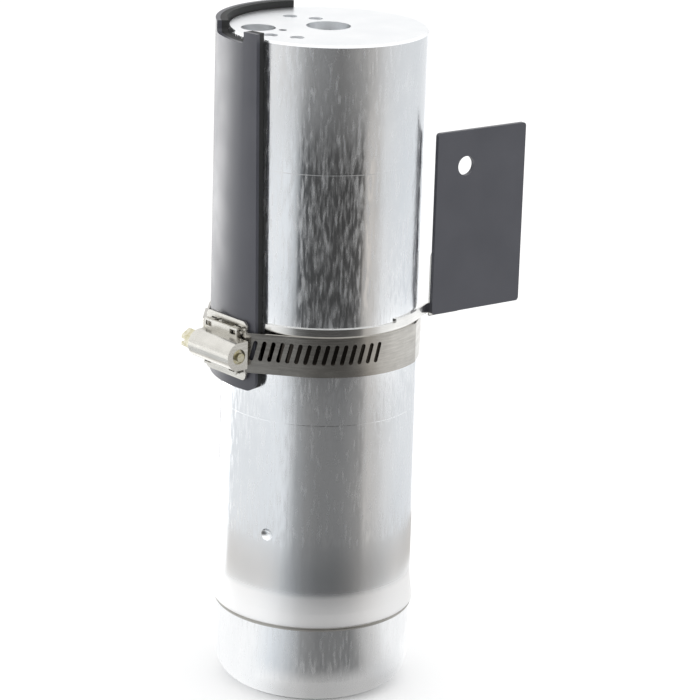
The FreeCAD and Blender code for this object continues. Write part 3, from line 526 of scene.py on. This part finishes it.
# %% Weld ripples
SEAM_RADIUS = 35.0 * MM
SEAM_HEIGHT = 29.95 * MM
DROP_RADIUS = 0.8 * MM
DROP_LENGTH = 0.62 * MM
ripple_sizes = {"Seam radius": SEAM_RADIUS, "Pitch": RIPPLE_PITCH, "Drop radius": DROP_RADIUS,
                "Drop length": DROP_LENGTH}
tree, keys, given = size_tree("weld_ripples", ripple_sizes)
around = add(tree, "ShaderNodeMath", {0: given["Seam radius"]}, {1: 2 * math.pi}, operation="MULTIPLY")
count = add(tree, "ShaderNodeMath", {0: around.outputs[0], 1: given["Pitch"]}, operation="DIVIDE")
count = add(tree, "ShaderNodeMath", {0: count.outputs[0]}, operation="ROUND")
circle = add(tree, "GeometryNodeMeshCircle",
             {"Vertices": count.outputs[0], "Radius": given["Seam radius"]})
step = add(tree, "ShaderNodeMath", {1: count.outputs[0]}, {0: 2 * math.pi}, operation="DIVIDE")
index = add(tree, "GeometryNodeInputIndex")
turned_by = add(tree, "ShaderNodeMath", {0: index.outputs[0], 1: step.outputs[0]}, operation="MULTIPLY")
angles = add(tree, "ShaderNodeCombineXYZ", {"Z": turned_by.outputs[0]})
facing = add(tree, "FunctionNodeEulerToRotation", {0: angles.outputs[0]})
ball = add(tree, "GeometryNodeMeshUVSphere", None, {"Segments": 12, "Rings": 6, "Radius": 1.0})
shape = add(tree, "ShaderNodeCombineXYZ",
            {"X": given["Drop radius"], "Y": given["Drop length"], "Z": given["Drop radius"]})
drop = add(tree, "GeometryNodeTransform", {"Geometry": ball.outputs["Mesh"], "Scale": shape.outputs[0]})
drops = add(tree, "GeometryNodeInstanceOnPoints",
            {"Points": circle.outputs[0], "Instance": drop.outputs[0], "Rotation": facing.outputs[0]})
seat = add(tree, "GeometryNodeTransform", {"Geometry": drops.outputs[0]},
           {"Translation": (0, 0, SEAM_HEIGHT)})
end_tree(tree, seat.outputs[0], NODES["girth_weld"].material_slots[0].material)
grow("weld_ripples", [(0, 0, 0)], tree, keys, ripple_sizes, "drier")

# %% [markdown]
# The studio floor is a pale sheet that runs out of sight on all sides. A photographer bends a paper up
# behind the object, but the white world above the horizon already does that, so a flat sheet is enough.
# It has no gloss, so that it gives a soft shadow and no mirror image.

# %% Floor
FLOOR_HALF = 6.0
floor_mesh = bpy.data.meshes.new("floor")
floor_mesh.from_pydata([(-FLOOR_HALF, -FLOOR_HALF, 0), (FLOOR_HALF, -FLOOR_HALF, 0),
                        (FLOOR_HALF, FLOOR_HALF, 0), (-FLOOR_HALF, FLOOR_HALF, 0)], [], [(0, 1, 2, 3)])
floor = bpy.data.objects.new("floor", floor_mesh)
bpy.context.scene.collection.objects.link(floor)
floor_paint, _, floor_shader, _ = new_material("pale_floor")
floor_shader.inputs["Base Color"].default_value = srgb("#F7F7F7")
floor_shader.inputs["Roughness"].default_value = 0.8
floor_shader.inputs["Specular IOR Level"].default_value = 0.0
floor_mesh.materials.append(floor_paint)
print("floor", 2 * FLOOR_HALF, "m wide")

# %% [markdown]
# The camera could be pushed about until the picture looks right. Instead its place, lens and small roll
# were fitted to points of the photo whose heights are known, so that the two outlines can be laid over each
# other. The shift slides the frame without turning the camera, as the crop of a photo does.

# %% Camera
CAMERA_AZIMUTH = -35.5
CAMERA_ELEVATION = 17.153
CAMERA_ROLL = 1.643
CAMERA_DISTANCE = 1.1168
TARGET = Vector((0, 0, 0.1212))
PHOTO_SIDE = 700
TARGET_COLUMN = 319.222
TARGET_ROW = 354.237
azimuth = math.radians(CAMERA_AZIMUTH)
elevation = math.radians(CAMERA_ELEVATION)
towards = Vector((math.sin(azimuth) * math.cos(elevation), -math.cos(azimuth) * math.cos(elevation),
                  math.sin(elevation)))
camera_data = bpy.data.cameras.new("camera")
camera_data.lens = 161.1
camera_data.sensor_width = 36.0
camera_data.shift_x = (PHOTO_SIDE / 2 - TARGET_COLUMN) / PHOTO_SIDE
camera_data.shift_y = (TARGET_ROW - PHOTO_SIDE / 2) / PHOTO_SIDE
camera_data.clip_start = 0.01
camera_data.clip_end = 100.0
camera = bpy.data.objects.new("camera", camera_data)
bpy.context.scene.collection.objects.link(camera)
turn = towards.to_track_quat("Z", "Y").to_matrix().to_4x4()
roll = Matrix.Rotation(math.radians(CAMERA_ROLL), 4, "Z")
camera.matrix_world = Matrix.Translation(TARGET + towards * CAMERA_DISTANCE) @ turn @ roll
bpy.context.scene.camera = camera
print("camera at", [round(value, 3) for value in camera.matrix_world.translation], "m")

# %% [markdown]
# Bare metal shows the room, not itself. The camera looks down, so an upright wall mirrors the table round
# the object: the foot of the wall shows the table close by, the head shows it far away. A photographer
# lays black and white cards there to shape the metal. One flat sheet does the same here. Only reflections
# see it, and its brightness is given ring by ring, as stops round the axis. Each stop is an angle from the
# camera, positive to its right, a level, and a warmth. A black card lies in front of the vessel, a strip
# light stands at the back left, and the ring of table close round the object is darker than the table
# beyond: a painted reflection of the object's own shadow there.
# Separate lamps and boards would do as well, but then every change of one moves the shine of the others.

# %% Stops of the reflection cards
UNDER = [
    (-180, 1.10, 0.0), (-42, 1.05, 0.0), (-30, 0.90, 0.0), (-16, 0.62, 0.1), (0, 0.46, 0.2), (12, 0.44, 0.2),
    (30, 0.49, 0.2), (49, 0.55, 0.2), (64, 0.66, 0.0), (90, 0.95, 0.0), (110, 1.10, 0.0), (180, 1.10, 0.0),
]
FOOT = [
    (-180, 1.10, 0.0), (-60, 1.05, 0.0), (-48, 0.94, -0.3), (-38, 0.82, -0.5), (-27, 0.64, -0.5),
    (-16, 0.42, -0.4), (-8, 0.26, 0.0), (6, 0.18, 0.0), (38, 0.18, 0.0), (46, 0.30, 0.2), (52, 0.48, 0.2),
    (66, 0.68, 0.2), (80, 0.92, 0.0), (94, 1.00, 0.0), (180, 1.10, 0.0),
]
# The ring of table close round the object, darker all round: painted reflection of the object's own shadow.
OWN_SHADOW_RING = [
    (-180, 0.90, 0.0), (-150, 1.50, 0.0), (-120, 1.50, 0.0), (-113, 0.64, 0.5), (-60, 0.60, 0.5),
    (-44, 0.57, 0.3), (-34, 0.42, -0.3), (-26, 0.27, -0.6), (-14, 0.17, -0.6), (5, 0.11, -0.5),
    (22, 0.10, -0.2), (36, 0.14, 0.2), (50, 0.22, 0.5), (62, 0.30, 0.5), (75, 0.38, 0.4),
    (90, 0.48, 0.4), (110, 0.58, 0.5), (180, 0.60, 0.5),
]
TABLE = [
    (-180, 0.80, 0.0), (-152, 0.80, 0.0), (-146, 2.60, 0.0), (-126, 2.60, 0.0), (-116, 0.84, -0.3),
    (-72, 0.84, -0.3), (-46, 0.84, -0.4), (-35, 0.80, -0.4), (-28, 0.62, -0.3), (-22, 0.36, -0.3),
    (-11, 0.26, 0.0), (2, 0.20, 0.0), (26, 0.20, 0.0), (40, 0.25, 0.2), (50, 0.29, 0.4), (55, 0.48, 0.5),
    (60, 0.54, 0.5), (70, 0.56, 0.3), (82, 0.70, 0.0), (105, 0.78, -0.3), (150, 0.84, -0.3),
    (160, 1.60, 0.0), (180, 0.90, 0.0),
]
WHITE_EDGE = [
    (-180, 1.10, 0.0), (-72, 1.45, 0.0), (-54, 1.35, 0.0), (-44, 0.95, 0.0), (-36, 0.55, 0.0),
    (-28, 0.25, 0.0), (-12, 0.09, 0.0), (28, 0.08, 0.0), (44, 0.20, 0.2), (58, 0.65, 0.2),
    (72, 1.25, 0.0), (92, 1.45, 0.0), (180, 1.20, 0.0),
]
BLACK_CARD = [
    (-180, 0.90, 0.0), (-160, 1.90, 0.0), (-150, 3.40, 0.0), (-138, 4.80, 0.0), (-126, 5.40, 0.0),
    (-117, 4.60, 0.0), (-106, 2.50, 0.0), (-96, 1.30, -0.2), (-84, 0.92, -0.3), (-72, 0.84, -0.3),
    (-44, 0.86, -0.4), (-36, 0.80, -0.4), (-30, 0.48, -0.5), (-25, 0.09, -0.5),
    (-10, 0.06, 0.0), (28, 0.05, 0.2), (40, 0.07, 0.3), (46, 0.12, 0.5), (49, 0.60, 0.8), (55, 0.60, 0.8),
    (60, 0.52, 0.6), (66, 0.60, 0.3), (72, 0.76, -0.1), (100, 0.78, -0.4), (140, 0.84, -0.4),
    (152, 0.95, -0.3), (160, 1.80, 0.0), (180, 0.90, 0.0),
]
FAR_ROOM = [
    (-180, 0.90, 0.0), (-160, 1.90, 0.0), (-150, 3.40, 0.0), (-138, 4.80, 0.0), (-126, 5.40, 0.0),
    (-117, 4.60, 0.0), (-106, 2.50, 0.0), (-96, 1.30, 0.0), (-84, 0.92, 0.0), (-70, 0.84, 0.1),
    (-58, 0.80, 0.1), (-44, 0.66, 0.1), (-30, 0.48, 0.0), (-17, 0.30, 0.0),
    (0, 0.24, 0.0), (16, 0.19, 0.2), (35, 0.32, 0.3), (50, 0.40, 0.3), (60, 0.52, 0.2), (70, 0.64, 0.0),
    (90, 0.74, -0.2), (130, 0.78, -0.3), (152, 0.90, -0.2), (160, 1.60, 0.0), (180, 0.90, 0.0),
]
# Under the object lies the first ring. Each further one starts at a distance from the axis, with a soft
# edge, both in metres.
RINGS = [
    (FOOT, 0.062, 0.008), (OWN_SHADOW_RING, 0.13, 0.012), (TABLE, 0.183, 0.008),
    (WHITE_EDGE, 0.425, 0.015), (BLACK_CARD, 0.505, 0.012), (FAR_ROOM, 0.94, 0.05),
]
WARMTH = 0.08
print("reflection cards:", 1 + len(RINGS), "rings")

# %% [markdown]
# Two helpers read those lists. The first finds how far round the axis a direction lies. The second is a
# colour ramp with one entry for each stop, which fades evenly from one to the next, as a soft card edge does.

# %% Ring helpers


def round_the_axis(tree, direction):
    """The angle from the camera of a direction, positive to the right, as a share of a full turn."""
    split = add(tree, "ShaderNodeSeparateXYZ", {0: direction})
    back = add(tree, "ShaderNodeMath", {0: split.outputs["Y"]}, {1: -1.0}, operation="MULTIPLY")
    around = add(tree, "ShaderNodeMath", {0: split.outputs["X"], 1: back.outputs[0]}, operation="ARCTAN2")
    turned = add(tree, "ShaderNodeMath", {0: around.outputs[0]}, {1: -azimuth}, operation="ADD")
    half_turn = math.pi
    wrapped = add(tree, "ShaderNodeMath", {0: turned.outputs[0]}, {1: half_turn, 2: -half_turn},
                  operation="WRAP")
    return spread(tree, wrapped.outputs[0], 0.0, 1.0, -half_turn, half_turn)


def ramp(tree, share, stops):
    """The colour at a share of the turn, between the stops of one ring."""
    node = add(tree, "ShaderNodeValToRGB", {"Fac": share})
    elements = node.color_ramp.elements
    for index, (degrees, level, warmth) in enumerate(stops):
        place = (degrees + 180) / 360
        stop = elements[index] if index < 2 else elements.new(place)
        stop.position = place
        stop.color = (level * (1 + warmth * WARMTH), level, level * (1 - warmth * WARMTH), 1)
    return node.outputs["Color"]


# %% [markdown]
# Now the sheet itself: a flat ring just above the floor, starting inside the foot of the vessel. It glows
# with the rings blended one into the next by distance. It is switched off for the eye, for shadows and for
# diffuse light, so that only gloss finds it.

# %% Reflection cards
CARD_INNER = 0.027
CARD_OUTER = 5.0
CARD_LIFT = 0.0004
CARD_SIDES = 96
corner_angles = [2 * math.pi * i / CARD_SIDES for i in range(CARD_SIDES)]
card_points = [(r * math.cos(a), r * math.sin(a), CARD_LIFT) for r in (CARD_INNER, CARD_OUTER)
               for a in corner_angles]
card_faces = [(i, CARD_SIDES + i, CARD_SIDES + (i + 1) % CARD_SIDES, (i + 1) % CARD_SIDES)
              for i in range(CARD_SIDES)]
card_mesh = bpy.data.meshes.new("reflection_cards")
card_mesh.from_pydata(card_points, [], card_faces)
card = bpy.data.objects.new("reflection_cards", card_mesh)
bpy.context.scene.collection.objects.link(card)
card_paint = bpy.data.materials.new("card_light")
card_paint.use_nodes = True
card_tree = card_paint.node_tree
card_tree.nodes.clear()
spot = add(card_tree, "ShaderNodeTexCoord").outputs["Object"]
share = round_the_axis(card_tree, spot)
distance = add(card_tree, "ShaderNodeVectorMath", {0: spot}, operation="LENGTH").outputs["Value"]
light = ramp(card_tree, share, UNDER)
for stops, start, soft in RINGS:
    beyond = add(card_tree, "ShaderNodeMapRange", {"Value": distance},
                 {"From Min": start - soft, "From Max": start + soft}, interpolation_type="SMOOTHSTEP")
    level = ramp(card_tree, share, stops)
    blend = add(card_tree, "ShaderNodeMix", {"Factor": beyond.outputs[0], "A": light, "B": level},
                data_type="RGBA")
    light = blend.outputs["Result"]
glow = add(card_tree, "ShaderNodeEmission", {"Color": light})
add(card_tree, "ShaderNodeOutputMaterial", {"Surface": glow.outputs[0]})
card_mesh.materials.append(card_paint)
card.visible_camera = False
card.visible_diffuse = False
card.visible_transmission = False
card.visible_shadow = False
print("card sheet from", CARD_INNER, "to", CARD_OUTER, "m")

# %% [markdown]
# Above the table the room is a soft white tent. It is darker on the camera's side, where the photographer
# stands, which shows on the flared mouth and on the rounded foot. A picture of a studio would light it too,
# but a ramp round the axis needs no file and is easy to change. The eye sees the tent plain white.

# %% Studio tent
TENT = [
    (-180, 0.92, 0.0), (-150, 0.94, 0.0), (-120, 1.1, 0.0), (-60, 1.15, 0.0), (-36, 1.0, 0.0),
    (-18, 0.6, 0.0), (18, 0.52, 0.0), (40, 0.75, 0.0), (70, 1.1, 0.0), (140, 1.1, 0.0), (180, 0.92, 0.0),
]
TENT_TOP = 1.25
WHITE = (1.0, 1.0, 1.0, 1.0)
world = bpy.data.worlds.new("studio_tent")
world.use_nodes = True
bpy.context.scene.world = world
tent_tree = world.node_tree
tent_tree.nodes.clear()
direction = add(tent_tree, "ShaderNodeTexCoord").outputs["Generated"]
side = ramp(tent_tree, round_the_axis(tent_tree, direction), TENT)
up = add(tent_tree, "ShaderNodeSeparateXYZ", {0: direction}).outputs["Z"]
ceiling = spread(tent_tree, up, 0.0, 1.0, 0.15, 0.5)
tent = add(tent_tree, "ShaderNodeMix", {"Factor": ceiling, "A": side},
           {"B": (TENT_TOP, TENT_TOP, TENT_TOP, 1)}, data_type="RGBA")
seen = add(tent_tree, "ShaderNodeLightPath").outputs["Is Camera Ray"]
plain = add(tent_tree, "ShaderNodeMix", {"Factor": seen, "A": tent.outputs["Result"]}, {"B": WHITE},
            data_type="RGBA")
background = add(tent_tree, "ShaderNodeBackground", {"Color": plain.outputs["Result"]}, {"Strength": 1.0})
add(tent_tree, "ShaderNodeOutputWorld", {"Surface": background.outputs[0]})
print("tent with", len(TENT), "stops, and a top at", TENT_TOP)

# %% [markdown]
# A photo of metal on white is printed with plain contrast, so the picture goes through the standard view
# transform and not through a film curve.

# %% View transform
bpy.context.scene.view_settings.view_transform = "Standard"
print("view transform:", bpy.context.scene.view_settings.view_transform)
